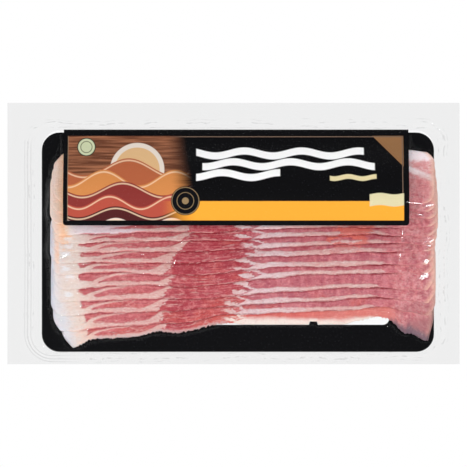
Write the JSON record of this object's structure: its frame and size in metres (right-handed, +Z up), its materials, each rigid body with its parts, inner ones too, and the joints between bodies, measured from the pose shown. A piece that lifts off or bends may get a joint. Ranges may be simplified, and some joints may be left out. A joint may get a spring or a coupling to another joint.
{
  "type": "bacon pack",
  "caption": "Flat pack of sliced streaky bacon: overlapping slices on a black card with a folded front flap, sealed in clear film with a flat edge all round.",
  "frame": {"origin": "bottom centre of the pack's box, on the underside of the film pocket that the pack rests on", "axes": "+X along the slices, to the right on the shown face; +Y to the card's folded edge; +Z up, out of the shown face"},
  "size_m": [0.292, 0.1688, 0.0192],
  "materials": {
    "film": "clear, glossy packaging film",
    "card": "black, coated and printed, satin",
    "bacon": "moist streaky bacon, pink to red lean with cream fat"
  },
  "bodies": {
    "root": {"film_pouch": "film", "board": "card", "slice_01": "bacon", "slice_02": "bacon", "slice_03": "bacon", "slice_04": "bacon", "slice_05": "bacon", "slice_06": "bacon", "slice_07": "bacon", "slice_08": "bacon", "slice_09": "bacon", "slice_10": "bacon", "slice_11": "bacon", "slice_12": "bacon", "slice_13": "bacon"}
  },
  "joints": []
}
